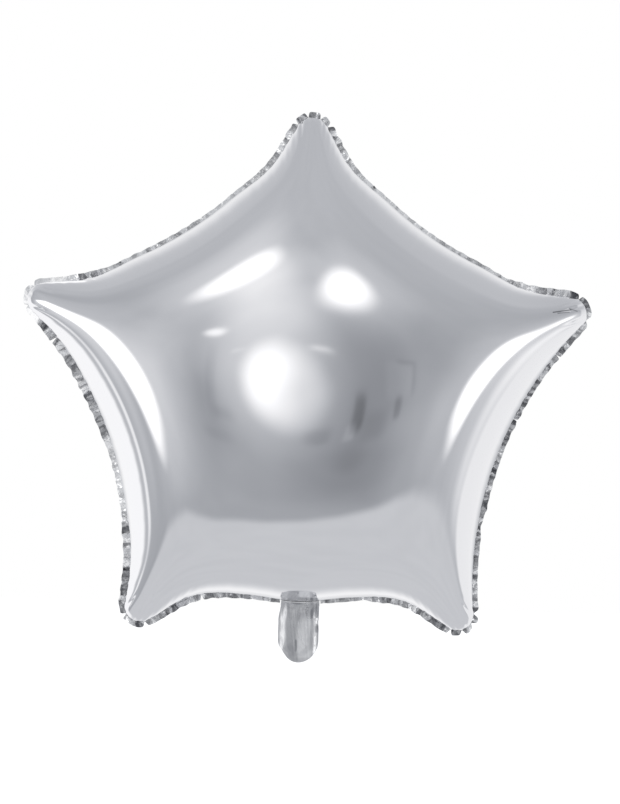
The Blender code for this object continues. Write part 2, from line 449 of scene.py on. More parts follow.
def welded_foil(crinkle):
    """Foil whose facets are as bright as the tone kept with the mesh, which holds the rim's painted light
    and shade.
    """
    material, tree, shader = new_material("welded_foil")
    place = node(tree, "ShaderNodeTexCoord").outputs["Object"]
    look = use_group(tree, crinkle, place=place, facets=420.0, depth=0.5)
    kept = node(tree, "ShaderNodeAttribute", attribute_name="tone").outputs["Fac"]
    speckled = maths(tree, "ADD", kept, remap(tree, look["Shade"], -0.12, 0.12))
    colour = tint(tree, remap(tree, speckled, 0, 1), (0.10, 0.103, 0.115), (0.97, 0.972, 0.98))
    tree.links.new(colour, shader.inputs["Base Color"])
    tree.links.new(remap(tree, kept, 0.36, 0.24), shader.inputs["Roughness"])
    shader.inputs["Metallic"].default_value = 0.8
    bump = node(tree, "ShaderNodeBump", {"Strength": 0.4, "Distance": 0.0005, "Height": look["Height"]})
    tree.links.new(bump.outputs["Normal"], shader.inputs["Normal"])
    return material


def tail_foil(grain, crinkle):
    """Thinner and milkier foil than the star's, as bright as the tone kept with the mesh, which holds
    painted light and shade.
    """
    material, tree, shader = new_material("tail_foil")
    place = node(tree, "ShaderNodeTexCoord").outputs["Object"]
    look = use_group(tree, crinkle, place=place, facets=260.0, depth=0.25)
    gloss = use_group(tree, grain, place=place, scale=60.0)
    kept = node(tree, "ShaderNodeAttribute", attribute_name="tone").outputs["Fac"]
    speckled = maths(tree, "ADD", kept, remap(tree, look["Shade"], -0.03, 0.03))
    colour = tint(tree, remap(tree, speckled, 0, 1), (0.38, 0.385, 0.405), (0.97, 0.972, 0.98))
    tree.links.new(colour, shader.inputs["Base Color"])
    tree.links.new(remap(tree, gloss["Gloss"], 0.26, 0.38, 0.3, 0.7), shader.inputs["Roughness"])
    shader.inputs["Metallic"].default_value = 0.75
    bump = node(tree, "ShaderNodeBump", {"Strength": 0.3, "Distance": 0.0004, "Height": look["Height"]})
    tree.links.new(bump.outputs["Normal"], shader.inputs["Normal"])
    return material


def valve_film(grain):
    material, tree, shader = new_material("valve_film")
    place = node(tree, "ShaderNodeTexCoord").outputs["Object"]
    look = use_group(tree, grain, place=place, scale=90.0)
    colour = tint(tree, look["Gloss"], (0.66, 0.68, 0.70), (0.80, 0.82, 0.83))
    tree.links.new(colour, shader.inputs["Base Color"])
    tree.links.new(remap(tree, look["Gloss"], 0.25, 0.4, 0.3, 0.7), shader.inputs["Roughness"])
    bump = node(tree, "ShaderNodeBump", {"Strength": 0.2, "Distance": 0.0004, "Height": look["Height"]})
    tree.links.new(bump.outputs["Normal"], shader.inputs["Normal"])
    return material


# Blown-up foil
# Folds that run in from each tip: place of the tip, then (distance along the edge from the tip's
# middle, depth, length of the fold)
TIP_FOLDS = {
    TOP_TIP: [
        (-0.0095, 0.0006, 0.020),
        (-0.003, 0.0004, 0.014),
        (0.0035, 0.0004, 0.016),
        (0.010, 0.0006, 0.022),
    ],
    SIDE_TIP: [(-0.0085, 0.0007, 0.026), (0.0035, 0.0009, 0.030), (0.0085, 0.0006, 0.022)],
    LEFT_SIDE_TIP: [(-0.009, 0.0006, 0.022), (0.0, 0.0005, 0.018), (0.009, 0.0006, 0.024)],
    LOWER_TIP: [(-0.009, 0.0006, 0.022), (0.001, 0.0005, 0.018), (0.0095, 0.0006, 0.024)],
    LEFT_LOWER_TIP: [(-0.0095, 0.0006, 0.022), (0.002, 0.0005, 0.018), (0.009, 0.0006, 0.024)],
}


def from_tip(at, tip):
    """Signed distance along the edge from the middle of a tip."""
    middle = EDGE.nearest(*(np.array(tip) * 1.05))
    return np.mod(at - middle + EDGE.length / 2, EDGE.length) - EDGE.length / 2


def spokes_along_edge():
    """Where the foil's spokes meet the edge: closer together at the tips, where it is folded."""
    fine = EDGE.length * np.arange(6000) / 6000
    crowding = 1 + sum(TIP_CROWDING * bell(from_tip(fine, tip), TIP_CROWDING_REACH) for tip in TIP_FOLDS)
    passed = np.concatenate([[0], np.cumsum(crowding)])
    places = np.append(fine, EDGE.length)
    return np.interp(passed[-1] * np.arange(FOIL_SPOKES) / FOIL_SPOKES, passed, places)


def sheet_offsets(shares, at, edge_points, seed):
    """How far each point of a sheet stands off the even film, by ring and spoke."""
    from_edge = (1 - shares)[:, None] * np.linalg.norm(edge_points, axis=1)
    offsets = RIPPLE_HEIGHT * swell(at, RIPPLE_PITCH, seed, EDGE.length) * smooth(0, FLAT_AT_SEAM, from_edge)
    offsets = offsets * smooth(RIPPLE_REACH, FLAT_AT_SEAM, from_edge)
    for tip, folds in TIP_FOLDS.items():
        for shift, depth, length in folds:
            lateral = (from_tip(at, tip) - shift) * shares[:, None]
            fade = smooth(length, 0, from_edge) * smooth(0, FLAT_AT_SEAM, from_edge)
            offsets -= depth * bell(lateral, TIP_FOLD_HALF_WIDTH) * fade
    return offsets


def film_skin(shares, edge_points, side, rise, scale=1.0):
    """Points of the even film by ring and spoke, and how far each is from the seam over the skin."""
    flat = scale * shares[:, None, None] * edge_points
    heights = film_heights(flat.reshape(-1, 2)).reshape(len(shares), -1)
    heights[-1] = 0
    skin = np.stack([flat[..., 0], side * (SEAM_LIFT + rise * heights), flat[..., 1]], axis=-1)
    steps = np.linalg.norm(np.diff(skin, axis=0), axis=-1)
    from_seam = np.zeros(skin.shape[:2])
    from_seam[:-1] = np.cumsum(steps[::-1], axis=0)[::-1]
    return skin, from_seam


def squares(skin, side):
    """Unit vectors square to a skin of rings and spokes, pointing away from the middle plane."""
    along = np.roll(skin, -1, axis=1) - np.roll(skin, 1, axis=1)
    across = np.cross(along, np.gradient(skin, axis=0))
    across[0] = (0, side, 0)
    across /= np.linalg.norm(across, axis=-1, keepdims=True)
    across[1:] *= np.sign(side * across[len(skin) // 2, 0, 1])
    return across


def foil_sheet(name, side, material, seed):
    """One blown-up sheet, side -1 in front and 1 behind. A coarse lining closes its hollow side."""
    rise = -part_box("front_panel")[0].y - SEAM_LIFT
    at = spokes_along_edge()
    edge_points = EDGE.points(at)
    shares = np.sin(math.pi / 2 * np.arange(FOIL_RINGS + 1) / FOIL_RINGS)
    skin = film_skin(shares, edge_points, side, rise)[0]
    offsets = sheet_offsets(shares, at, edge_points, seed)
    skin = skin + offsets[..., None] * squares(skin, side)
    lining_shares = np.sin(math.pi / 2 * np.arange(LINING_RINGS + 1) / LINING_RINGS)
    lining = film_skin(lining_shares, edge_points, side, LINING_SCALE * rise, LINING_SCALE)[0]
    points = closed(np.concatenate([skin, lining[::-1]]))
    return new_piece(name, wrapped_form(points), 75, material)


# Welded rim: millimetres along the foil's edge from the middle of the bottom side, then its width
# in millimetres, how bright its painted light and shade make it from 0 to 1, and how far it leans towards
# the front in degrees
RIM_ALONG = [
    (17, 3.2, 0.45, 5),
    (36, 3.8, 0.35, -10),
    (52, 2.6, 0.45, 10),
    (60, 4.6, 0.15, -5),
    (118, 4.8, 0.15, 5),
    (160, 4.3, 0.25, -10),
    (212, 4.2, 0.15, 0),
    (222, 2.8, 0.10, -15),
    (236, 4.8, 0.25, 0),
    (290, 4.0, 0.15, 5),
    (362, 3.9, 0.15, 0),
    (376, 4.8, 0.15, -5),
    (400, 4.4, 0.20, -5),
    (409, 3.8, 0.35, 0),
    (425, 4.0, 0.30, 0),
    (430, 4.6, -1.00, 0),
    (435, 5.6, 0.45, 15),
    (478, 4.6, 0.45, -15),
    (487, 2.8, 0.70, -30),
    (520, 3.6, 0.80, -38),
    (600, 3.2, 1.00, -48),
    (628, 4.0, 0.75, -35),
    (655, 4.7, 0.55, -15),
    (690, 4.8, 0.30, 0),
    (745, 4.6, 0.60, -25),
    (795, 3.5, 1.00, -45),
    (830, 4.0, 0.75, -30),
    (860, 3.8, 0.75, -35),
    (895, 3.6, 0.90, -40),
    (908, 5.0, 0.35, 0),
    (924, 5.0, 0.45, -10),
    (934, 4.4, 1.50, -58),
    (987, 4.4, 1.50, -58),
    (994, 4.8, 0.10, 0),
    (1010, 6.4, 0.25, -5),
    (1098, 6.0, 0.30, 0),
    (1108, 5.0, 1.15, -45),
    (1156, 4.8, 1.15, -45),
    (1172, 6.0, 0.20, 0),
    (1240, 4.8, 0.15, -5),
    (1305, 4.9, 0.25, 5),
    (1345, 3.6, 0.50, 10),
    (1363, 3.3, 0.55, 5),
]
# Cuts in the rim beside each tip: millimetres along the edge from the tip's middle, and half width
RIM_CUTS = {
    LOWER_TIP: [(-13.2, 1.2), (-4.3, 1.5), (5.0, 1.5), (12.9, 1.8)],
    SIDE_TIP: [(-105.9, 0.4), (-45.2, 0.5), (-9.1, 2.4), (10.1, 0.9)],
    TOP_TIP: [(-15.0, 1.2), (-6.5, 1.2), (3.4, 1.0), (13.2, 1.2)],
    LEFT_SIDE_TIP: [(-8.0, 1.2), (9.0, 1.2), (43.0, 0.9)],
    LEFT_LOWER_TIP: [(-5.5, 1.2), (11.7, 1.2), (61.6, 0.7)],
}
# Where the rim ends left and right of the tail
RIM_OPENING = 0.0150, 0.0167
# Where it is drawn flat next to the tail, how deep the cuts go, and the slow waves of its width, as
# a share and a pitch, and of its lean, in degrees and a pitch
RIM_CALM = 0.012
CUT_DEPTH = 0.96
WIDTH_WAVES = 0.10, 0.013
LEAN_WAVES = 16, 0.05
# Its folds, and the finer crumples on them
FOLD_PITCH = 0.0031
FOLD_SLANT = 0.0026
FOLD_HEIGHT = 0.0013
CRUMPLE_PITCH = 0.0014
CRUMPLE_HEIGHT = 0.00026


def rim_folds(at, across, pitch, slant, seed):
    """Height from -1 to 1 and tone from 0 to 1 of flat facets between uneven slanted folds."""
    rng = np.random.default_rng(seed)
    count = 2 * round(EDGE.length / pitch / 2)
    places = (np.arange(count) + rng.uniform(-0.36, 0.36, count)) * EDGE.length / count
    lean = rng.uniform(-slant, slant, count)
    heights = (-1.0) ** np.arange(count) * rng.uniform(0.15, 1.0, count)
    tones = rng.uniform(0, 1, count)
    raised, toned = [], []
    for share in across:
        folds = np.maximum.accumulate(places + lean * share)
        raised.append(np.interp(at, folds, heights, period=EDGE.length))
        toned.append(tones[np.searchsorted(folds, at) % count])
    return np.array(raised), np.array(toned)


def rim(material):
    """The weld outside the foil's edge, folded small and leaning to and fro, open at the tail."""
    at = np.linspace(RIM_OPENING[1], EDGE.length - RIM_OPENING[0], RIM_STATIONS)
    line, normal = EDGE.points(at), EDGE.square(at)
    places, widths, lights, leans = np.array(RIM_ALONG).T
    width = 0.001 * np.interp(at, 0.001 * places, widths) - FOIL_BEYOND_EDGE
    width = width * (1 + WIDTH_WAVES[0] * swell(at, WIDTH_WAVES[1], 21, EDGE.length))
    light = np.interp(at, 0.001 * places, lights)
    to_and_fro = LEAN_WAVES[0] * swell(at, LEAN_WAVES[1], 22, EDGE.length)
    lean = np.radians(np.interp(at, 0.001 * places, leans) + to_and_fro)
    keep = np.ones(len(at))
    for tip, cuts in RIM_CUTS.items():
        for shift, half in cuts:
            keep *= 1 - CUT_DEPTH * bell(from_tip(at, tip) - 0.001 * shift, 0.001 * half)
    fade = smooth(0, RIM_CALM, np.minimum(at, EDGE.length - at) - RIM_OPENING[1])
    across = np.linspace(0, 1, RIM_ACROSS + 1)
    share = across[:, None]
    folded, tones = rim_folds(at, across, FOLD_PITCH, FOLD_SLANT, 24)
    crumpled, specks = rim_folds(at, across, CRUMPLE_PITCH, 2 * CRUMPLE_PITCH, 25)
    raised = FOLD_HEIGHT * folded * np.sqrt(share) + CRUMPLE_HEIGHT * crumpled * np.minimum(1, 3 * share)
    reach = width * keep * share
    lift = (raised - reach * np.tan(lean)) * fade * keep
    placed = line + reach[..., None] * normal
    rows = np.stack([placed[..., 0], lift, placed[..., 1]], axis=-1)
    under = line - RIM_UNDER_FOIL * normal
    root = np.stack([under[:, 0], np.zeros(len(at)), under[:, 1]], axis=-1)[None]
    sheet = np.concatenate([root, rows])
    patchy = smooth(0.10, 0.90, 0.68 * tones + 0.32 * specks)
    # Painted light and shade along the rim, from the brightness column of RIM_ALONG, mixed with a random
    # tone for each facet
    tone = np.clip(0.55 * light + (1 - 0.35 * light) * patchy, 0, 1)
    tone = np.concatenate([tone[:1], tone])
    wall = np.array([0, RIM_FOIL / 2, 0])
    points = np.concatenate([sheet - wall, sheet[::-1] + wall, sheet[:1] - wall])
    tone = np.concatenate([tone, tone[::-1], tone[:1]])
    return new_piece("rim_foil", wrapped_form(points, tone), 22, material)


# Tail: a place on its flat pattern is x across, and v up from the fold over the foil
NECK_TOP = 0.0065
NECK_CORNER = 0.0040
TAIL_HALF_WIDTH = 0.0161
TAIL_BELOW_FOLD = 0.0485
WELD_WIDTH = 0.0038
WELD_WIDTH_AT_END = 0.0052
PLY_FOIL = 0.00012
PLY_CLEARANCE = 0.00004
PLY_CROWN = 0.0011
NECK_CLEARANCE = 0.00025
NECK_BRIDGE = 0.0016
EDGE_CURL = 0.0020
FILLING_HOLE = (0.0045, 0.00275)
FILLING_HOLE_DROP = 0.0285
TAIL_COLUMNS = 340
TAIL_ROWS = 90
NECK_STEP = 0.0005
NECK_STEPS_ACROSS = 36
NECK_STEPS_BELOW = 44
NECK_STEPS_ABOVE = 60

# Ridges pressed into each ply: both ends on the flat pattern, height and reach to each side
FRONT_RIDGES = [
    (-0.0095, 0.0010, -0.0025, -0.0030, 0.0009, 0.0040),
    (-0.0025, -0.0030, 0.0045, -0.0010, 0.0009, 0.0040),
    (-0.0100, -0.0030, -0.0085, -0.0130, 0.0007, 0.0035),
    (0.0120, 0.0000, 0.0115, -0.0130, 0.0010, 0.0026),
    (0.0145, 0.0000, 0.0140, -0.0150, 0.0007, 0.0016),
    (0.0050, -0.0080, 0.0085, -0.0200, 0.0006, 0.0050),
    (-0.0035, -0.0060, -0.0020, -0.0180, 0.0005, 0.0045),
    (-0.0095, -0.0260, -0.0070, -0.0420, 0.0005, 0.0035),
]
BACK_RIDGES = [
    (-0.0080, 0.0010, -0.0030, -0.0050, 0.0009, 0.0045),
    (0.0020, 0.0000, 0.0090, -0.0050, 0.0009, 0.0045),
    (0.0060, -0.0030, 0.0090, -0.0140, 0.0008, 0.0045),
    (-0.0080, -0.0030, -0.0060, -0.0160, 0.0007, 0.0045),
    (0.0100, -0.0300, 0.0050, -0.0430, 0.0006, 0.0040),
]
# Small crumples all over each ply, and the length after which its waves begin again
PLY_CRUMPLE = 0.00016
SWELL_PERIOD = 0.2
# A valley pressed along the front ply, and the share of the ply's height it takes at its foot
CREASE_X = -0.0017
CREASE_SHARE = 0.70
CREASE_REACH = 0.0090

# How bright the tail is, and how much brighter its neck, from painted light, and its back ply are, from 0 to
# 1
TAIL_TONE = 0.42
NECK_PAINTED_LIGHT = 0.45
BACK_BRIGHTER = 0.1
# Painted light and shade on the front ply, as duller and brighter places: middle, half width and half
# height on the flat pattern in millimetres, slant of its long side in degrees, and how much brighter it is
TAIL_PAINTED_LIGHT_AND_SHADE = [
    (-13.2, -25.0, 2.6, 17.0, 0, 0.14),
    (12.0, -21.0, 2.8, 18.0, 0, -0.36),
    (7.0, -30.0, 7.5, 17.0, 0, 0.40),
    (-6.5, -27.0, 4.5, 16.0, 0, -0.06),
    (-1.7, -35.0, 0.9, 4.5, 0, -0.55),
    (-4.5, -41.0, 3.0, 7.0, 25, -0.16),
    (-5.5, -2.5, 4.5, 4.0, 0, -0.12),
    (0.0, -0.75, 15.0, 0.75, 0, -0.30),
    (-2.5, -1.0, 6.0, 1.1, -12, -0.25),
    (3.0, -11.0, 4.0, 5.0, 0, -0.10),
    (10.0, -7.0, 0.8, 7.0, 0, -0.22),
    (12.6, -8.0, 0.7, 8.0, 0, 0.18),
    (14.6, -7.0, 0.9, 7.0, 0, -0.25),
    (12.2, -24.0, 0.9, 9.0, 0, -0.14),
    (14.4, -16.0, 0.9, 2.4, 0, 0.80),
    (14.6, -22.5, 1.4, 2.8, 0, -0.40),
    (13.5, -31.5, 1.1, 3.2, 0, 0.80),
    (13.2, -38.0, 0.9, 3.0, -20, 0.30),
    (5.0, -46.0, 7.0, 1.4, 0, -0.12),
]


def look_up(table, x, v):
    """Values between those of a table of places across, the middle one at x = 0, and up."""
    column = x / NECK_STEP + NECK_STEPS_ACROSS
    row = v / NECK_STEP + NECK_STEPS_BELOW
    left = np.clip(np.floor(column).astype(int), 0, table.shape[0] - 2)
    low = np.clip(np.floor(row).astype(int), 0, table.shape[1] - 2)
    right_share = (column - left)[..., None]
    upper_share = (row - low)[..., None]
    lower = table[left, low] * (1 - right_share) + table[left + 1, low] * right_share
    upper = table[left, low + 1] * (1 - right_share) + table[left + 1, low + 1] * right_share
    return lower * (1 - upper_share) + upper * upper_share


def neck_tables(side):
    """Points and unit normals of the blown-up foil above the tail and of the plane of the seam
    under it, by place across and up, with the hollow corner between them bridged."""
    rise = -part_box("front_panel")[0].y - SEAM_LIFT
    across = NECK_STEP * np.arange(-NECK_STEPS_ACROSS, NECK_STEPS_ACROSS + 1)
    ups = NECK_STEP * np.arange(-NECK_STEPS_BELOW, NECK_STEPS_ABOVE)
    shares = 1 - 0.25 * np.linspace(1, 0, 160) ** 2
    skin, from_seam = film_skin(shares, EDGE.points(across), side, rise)
    columns = []
    for index in range(len(across)):
        travelled = from_seam[::-1, index]
        column = np.array([np.interp(ups, travelled, skin[::-1, index, axis]) for axis in range(3)])
        column[1] *= ups >= 0
        column[2] += np.minimum(ups, 0)
        columns.append(column.T)
    points = np.array(columns)
    reach = round(3 * NECK_BRIDGE / NECK_STEP)
    weights = bell(NECK_STEP * np.arange(-reach, reach + 1), 1.4 * NECK_BRIDGE)
    weights /= weights.sum()
    kept = points.shape[1] - 2 * reach
    points[:, reach:-reach] = sum(
        weight * points[:, index : index + kept] for index, weight in enumerate(weights)
    )
    normals = np.cross(np.gradient(points, axis=0), np.gradient(points, axis=1))
    normals /= np.linalg.norm(normals, axis=-1, keepdims=True)
    normals *= np.sign(side * normals[..., 1:2])
    return points, normals


def tail_outline():
    """The tail's edge on the flat pattern, from the middle of its end up its right side and round."""
    straight = TAIL_BELOW_FOLD - TAIL_HALF_WIDTH
    turn = np.linspace(0, math.pi / 2, 24)
    end = np.stack([TAIL_HALF_WIDTH * np.sin(turn), -straight - TAIL_HALF_WIDTH * np.cos(turn)], axis=1)
    heights = np.linspace(-straight, NECK_TOP - NECK_CORNER, 90)
    side = np.stack([np.full(90, TAIL_HALF_WIDTH), heights], axis=1)
    in_from_side = NECK_CORNER * (1 - np.cos(turn))
    below_top = NECK_CORNER * (1 - np.sin(turn))
    corner = np.stack([TAIL_HALF_WIDTH - in_from_side, NECK_TOP - below_top], axis=1)
    top = np.stack([np.linspace(TAIL_HALF_WIDTH - NECK_CORNER, 0, 20), np.full(20, NECK_TOP)], axis=1)
    right = np.concatenate([end, side[1:], corner[1:], top[1:]])
    left = right[-2:0:-1] * (-1, 1)
    # The left side is drawn in under the star and its lower corner is flatter
    left[:, 0] += 0.0018 * smooth(-0.016, -0.002, left[:, 1])
    left[:, 0] += 0.0020 * bell(left[:, 1] + straight + 0.010, 0.0055)
    right[:, 0] -= 0.0004 * bell(right[:, 1] + 0.017, 0.004)
    return np.concatenate([right, left])


def even_steps(line, count):
    """Points at even steps round a closed line."""
    line = np.vstack([line, line[:1]])
    travelled = np.concatenate([[0], np.cumsum(np.linalg.norm(np.diff(line, axis=0), axis=1))])
    at = travelled[-1] * np.arange(count) / count
    return np.stack([np.interp(at, travelled, line[:, axis]) for axis in (0, 1)], axis=-1)


def ridge(x, v, x_start, v_start, x_end, v_end, height, reach):
    """A straight ridge with flat sides that fall away over its reach."""
    along = np.array([x_end - x_start, v_end - v_start])
    share = np.clip(((x - x_start) * along[0] + (v - v_start) * along[1]) / (along @ along), 0, 1)
    apart = np.hypot(x - x_start - share * along[0], v - v_start - share * along[1])
    return height * np.clip(1 - apart / reach, 0, 1)


def ply_height(x, v, side, seed):
    """How far a ply stands off the tail's middle, or off the blown-up foil above the fold."""
    inset = TAIL_HALF_WIDTH - np.hypot(x, np.minimum(v + TAIL_BELOW_FOLD - TAIL_HALF_WIDTH, 0))
    weld = WELD_WIDTH + (WELD_WIDTH_AT_END - WELD_WIDTH) * smooth(-0.036, -0.048, v)
    free = smooth(0, 0.0034 + 0.0026 * smooth(-0.002, 0.006, -side * x), inset - weld)
    below = smooth(-0.0005, -0.0100, v) * (0.4 + 0.6 * smooth(-0.0460, -0.0160, v))
    crown = PLY_CROWN * free * below
    if side < 0:
        valley = CREASE_SHARE * np.clip(1 - np.abs(x - CREASE_X) / CREASE_REACH, 0, 1)
        crown = crown * (1 - valley * smooth(-0.012, -0.034, v))
    ridges = sum(ridge(x, v, *values) for values in (FRONT_RIDGES if side < 0 else BACK_RIDGES))
    spread = smooth(0, 0.0025, inset) * smooth(NECK_TOP, NECK_TOP - 0.0060, v)
    crumple = PLY_CRUMPLE * swell(x + 0.7 * v, 0.0032, seed, SWELL_PERIOD)
    crumple = crumple * swell(v - 0.5 * x, 0.0045, seed + 1, SWELL_PERIOD)
    return crown + (ridges + crumple) * spread * (0.35 + 0.65 * free * np.ones_like(v))


def ply_tone(x, v, side, seed):
    """How bright a ply is at each place, from 0 to 1: streaks down it, painted light on the neck, and
    painted light and shade at the places on the front.
    """
    wide_streaks = 0.07 * swell(x + 0.12 * v, 0.0026, seed + 3, SWELL_PERIOD)
    fine_streaks = 0.05 * swell(x - 0.2 * v, 0.0011, seed + 4, SWELL_PERIOD)
    patches = 1 + 0.4 * swell(v + 0.3 * x, 0.014, seed + 5, SWELL_PERIOD)
    # The neck above the fold is made brighter with painted light
    tone = TAIL_TONE + NECK_PAINTED_LIGHT * smooth(-0.0003, 0.0006, v) + (wide_streaks + fine_streaks) * patches
    if side > 0:
        return np.clip(tone + BACK_BRIGHTER, 0, 1)
    # Painted light and shade: the brighter and duller places on the front ply
    for x_middle, v_middle, half_width, half_height, slant, change in TAIL_PAINTED_LIGHT_AND_SHADE:
        cosine, sine = math.cos(math.radians(slant)), math.sin(math.radians(slant))
        apart, down = 1000 * x - x_middle, 1000 * v - v_middle
        wide = (cosine * apart + sine * down) / half_width
        high = (cosine * down - sine * apart) / half_height
        tone += change * smooth(1.25, 0.75, (wide**4 + high**4) ** 0.25)
    return np.clip(tone, 0, 1)


def tail_sheet(name, side, hole, centre, material, seed):
    """One ply of the tail with its neck over the blown-up foil. hole is the two half axes of its
    filling hole, or None, and centre is the middle of its rings on the flat pattern."""
    neck_points, neck_normals = neck_tables(side)
    outline = even_steps(tail_outline(), TAIL_COLUMNS) - centre
    first = 0 if hole is None else 1 / np.hypot(outline[:, 0] / hole[0], outline[:, 1] / hole[1])
    shares = np.linspace(0, 1, TAIL_ROWS + 1)[:, None]
    shares = first + (1 - first) * shares
    x = centre[0] + shares * outline[:, 0]
    v = centre[1] + shares * outline[:, 1]
    base = look_up(neck_points, x, v)
    normal = look_up(neck_normals, x, v)
    normal /= np.linalg.norm(normal, axis=-1, keepdims=True)
    curl = EDGE_CURL * smooth(0.0108, 0.0158, np.abs(x)) * (1 + 0.12 * swell(v, 0.012, seed + 7, 0.15))
    base[..., 1] += curl * smooth(-0.002, -0.014, v)
    clearance = PLY_CLEARANCE + (NECK_CLEARANCE - PLY_CLEARANCE) * smooth(-0.006, 0.002, v)
    lift = ply_height(x, v, side, seed) + clearance
    wall = PLY_FOIL * np.sin(math.pi * np.linspace(0, 1, TAIL_ROWS + 1)) ** 0.2
    if hole is None:
        wall[: TAIL_ROWS // 2] = PLY_FOIL
    inner = base + lift[..., None] * normal
    outer = base + (lift + wall[:, None])[..., None] * normal
    tone = ply_tone(x, v, side, seed)
    points = np.concatenate([outer, inner[-2::-1]])
    tone = np.concatenate([tone, tone[-2::-1]])
    if hole is not None:
        points = np.concatenate([points, outer[:1]])
        tone = np.concatenate([tone, tone[:1]])
    return new_piece(name, wrapped_form(closed(points), closed(tone)), 40, material)


def tail(material):
    """Both plies of the tail, which take the place of its parts."""
    front = tail_sheet("tail_front_foil", -1, None, (0.0, -0.012), material, 41)
    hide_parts("tail_front", "tail_border")
    back = tail_sheet("tail_back_foil", 1, FILLING_HOLE, (0.0, -FILLING_HOLE_DROP), material, 51)
    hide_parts("tail_back")
    for ply in (front, back):
        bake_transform(ply)


# Stage and light
def light_axes(azimuth, elevation, tilt):
    """Where a light in the studio stands as seen from the balloon, and its long and short side."""
    turn, rise, lean = map(math.radians, (azimuth, elevation, tilt))
    ahead = Vector((math.sin(turn) * math.cos(rise), -math.cos(turn) * math.cos(rise), math.sin(rise)))
    level = Vector((math.cos(turn), math.sin(turn), 0))
    upright = Vector((-math.sin(turn) * math.sin(rise), math.cos(turn) * math.sin(rise), math.cos(rise)))
    across = math.cos(lean) * level + math.sin(lean) * upright
    return ahead, across, math.cos(lean) * upright - math.sin(lean) * level


def studio_light_group():
    """One soft light in the studio, seen in a direction. Its sides are divided by their half sizes."""
    tree, given, result = new_group(
        "studio_light",
        [
            ("Direction", "NodeSocketVector", None),
            ("Ahead", "NodeSocketVector", None),
            ("Across", "NodeSocketVector", None),
            ("Up", "NodeSocketVector", None),
            ("Square", "NodeSocketFloat", 2.0),
            ("Softness", "NodeSocketFloat", 0.3),
            ("Power", "NodeSocketFloat", 1.0),
        ],
        [("Light", "NodeSocketFloat", None)],
    )

    def along(axis):
        inputs = {0: given["Direction"], 1: axis}
        return node(tree, "ShaderNodeVectorMath", inputs, operation="DOT_PRODUCT").outputs["Value"]

    reach = maths(tree, "MAXIMUM", along(given["Ahead"]), 0.000001)

    def share(axis):
        size = maths(tree, "ABSOLUTE", maths(tree, "DIVIDE", along(axis), reach))
        return maths(tree, "POWER", size, given["Square"])

    total = maths(tree, "ADD", share(given["Across"]), share(given["Up"]))
    radius = maths(tree, "POWER", total, maths(tree, "DIVIDE", 1.0, given["Square"]))
    inputs = {
        "Value": radius,
        "From Min": maths(tree, "ADD", 1.0, given["Softness"]),
        "From Max": maths(tree, "SUBTRACT", 1.0, given["Softness"]),
        "To Max": given["Power"],
    }
    light = node(tree, "ShaderNodeMapRange", inputs, interpolation_type="SMOOTHSTEP")
    tree.links.new(light.outputs["Result"], result["Light"])
    return tree


# Azimuth from the front to the right, elevation, half width, half height, tilt, squareness,
# softness and power of each light, and of each darker part of the room
LIGHTS = [
    (-69.8, -2.4, 0.282, 0.164, -50, 3, 0.32, 1.2),
    (-57, -5, 0.30, 0.22, -50, 2, 0.90, 0.17),
    (-64, 2, 0.55, 0.40, -40, 2, 0.90, 0.12),
    (-84, -7, 0.10, 0.17, 0, 2, 0.90, 0.16),
    (-90, -10, 0.16, 0.24, 0, 2, 0.90, 0.08),
    (-96.5, -18.5, 0.04, 0.07, 0, 3, 0.60, 0.40),
    (-100, -18, 0.07, 0.10, 0, 2, 0.90, 0.12),
    (66.6, -2.6, 0.240, 0.136, 50, 3, 0.36, 1.2),
    (66, 0, 0.42, 0.30, 60, 2, 0.90, 0.16),
    (77, 9, 0.07, 0.06, 0, 2, 0.90, 0.14),
    (83, -5, 0.20, 0.30, 0, 2, 0.90, 0.20),
    (93, -12, 0.14, 0.14, 0, 2, 0.90, 0.45),
    (-28.6, 39.0, 0.148, 0.098, 6, 2, 0.75, 0.86),
    (-34, 42, 0.40, 0.20, -38, 2, 0.90, 0.22),
    (-7, 37, 0.13, 0.10, 0, 2, 0.90, 0.11),
    (-13, 26, 0.30, 0.13, -52, 2, 0.90, 0.30),
    (12.3, 28.3, 0.156, 0.084, 50, 2, 0.70, 0.95),
    (15, 31, 0.32, 0.17, 44, 2, 0.90, 0.16),
    (-5.0, 2.3, 0.088, 0.066, -52, 2, 0.95, 0.80),
    (-11, 7, 0.24, 0.16, -46, 2, 0.90, 0.23),
    (-22, 15.2, 0.058, 0.021, -12, 2, 0.60, 0.55),
    (1.9, 6.3, 0.026, 0.008, 0, 3, 0.50, 0.42),
    (-13, 8.2, 0.030, 0.007, 0, 3, 0.50, 0.12),
    (-42, 10, 0.20, 0.28, 0, 2, 0.90, 0.09),
    (41, -9, 0.14, 0.14, 0, 2, 0.90, 0.07),
    (21, -7, 0.14, 0.06, 0, 2, 0.90, 0.04),
    (20, 3.2, 0.085, 0.075, 0, 5, 0.20, 0.03),
    (6.9, -5.7, 0.018, 0.026, 0, 4, 0.40, 0.08),
]
